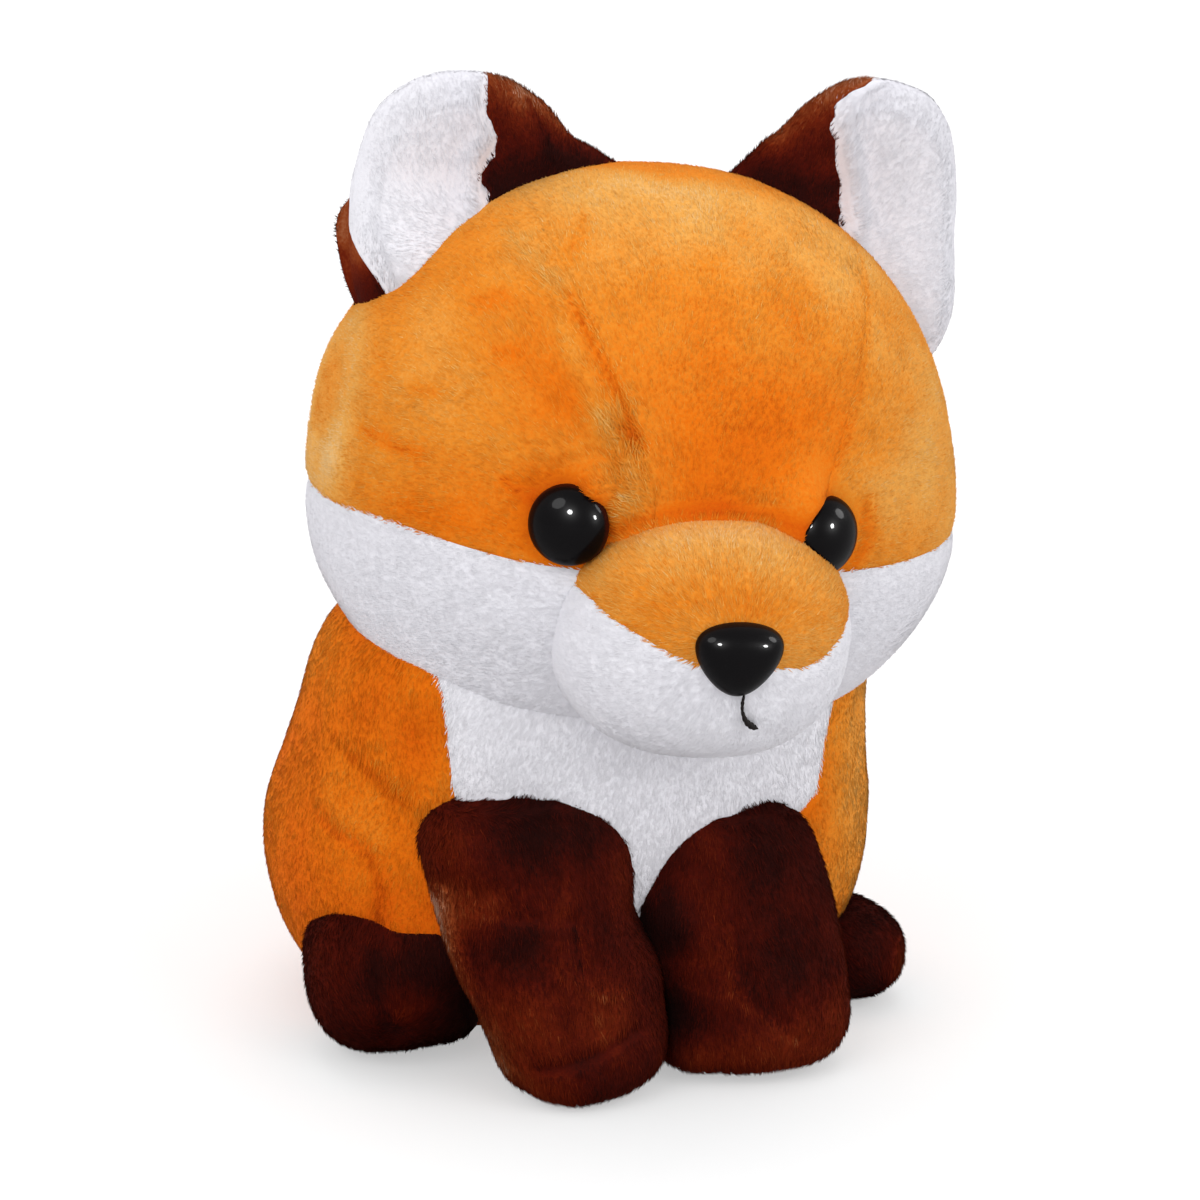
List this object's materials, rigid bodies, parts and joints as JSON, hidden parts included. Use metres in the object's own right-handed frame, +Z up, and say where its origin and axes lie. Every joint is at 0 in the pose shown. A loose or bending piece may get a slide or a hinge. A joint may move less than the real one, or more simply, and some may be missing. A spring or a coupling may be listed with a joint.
{
  "type": "seated plush fox",
  "caption": "Seated plush fox with an orange, white and brown pile coat, rounded ears, safety eyes, a safety nose and a sewn-on tail.",
  "frame": {"origin": "on the flat seat under the body, at its middle line", "axes": "+Z up from the seat, -Y the way the fox faces, +X towards the fox's left side"},
  "size_m": [0.191, 0.2727, 0.2748],
  "materials": {
    "orange_plush": "short soft pile, matte",
    "white_plush": "short soft pile, matte",
    "brown_plush": "short soft pile, matte",
    "stuffing": "loose polyester fibre",
    "eye_plastic": "polished",
    "washer_plastic": "plain moulded",
    "mouth_thread": "twisted thread"
  },
  "bodies": {
    "root": {"body_base": "orange_plush", "body_filling": "stuffing", "body_side_left": "orange_plush", "body_side_right": "orange_plush", "cheek_left": "white_plush", "cheek_right": "white_plush", "chest_bib": "white_plush", "eye_left": "eye_plastic", "eye_right": "eye_plastic", "eye_washer_left": "washer_plastic", "eye_washer_right": "washer_plastic", "front_leg_filling_left": "stuffing", "front_leg_filling_right": "stuffing", "front_leg_left": "brown_plush", "front_leg_right": "brown_plush", "head_filling": "stuffing", "head_gusset": "orange_plush", "head_side_left": "orange_plush", "head_side_right": "orange_plush", "hind_foot_filling_left": "stuffing", "hind_foot_filling_right": "stuffing", "hind_foot_left": "brown_plush", "hind_foot_right": "brown_plush", "mouth_stitch": "mouth_thread", "muzzle_filling": "stuffing", "muzzle_lower": "white_plush", "muzzle_top": "orange_plush", "nose": "eye_plastic", "nose_washer": "washer_plastic"},
    "right_ear": {"ear_back_right": "brown_plush", "ear_filling_right": "stuffing", "ear_front_right": "white_plush"},
    "left_ear": {"ear_back_left": "brown_plush", "ear_filling_left": "stuffing", "ear_front_left": "white_plush"},
    "tail": {"tail_filling": "stuffing", "tail_skin": "orange_plush", "tail_tip": "white_plush"}
  },
  "joints": [
    {"name": "right_ear_seam", "type": "hinge", "parent": "root", "child": "right_ear", "pos_m": [-0.03069, -0.02462, 0.22878], "axis": [0.8713, -0.0762, 0.4847], "range_deg": [-15, 15], "stiffness_Nm_per_rad": 0.08},
    {"name": "left_ear_seam", "type": "hinge", "parent": "root", "child": "left_ear", "pos_m": [0.06466, -0.03295, 0.22125], "axis": [0.7851, -0.0687, -0.6156], "range_deg": [-15, 15], "stiffness_Nm_per_rad": 0.08},
    {"name": "tail_seam", "type": "hinge", "parent": "root", "child": "tail", "pos_m": [0, 0.08, 0.032], "axis": [0, 0, 1], "range_deg": [-15, 15], "stiffness_Nm_per_rad": 0.1}
  ]
}
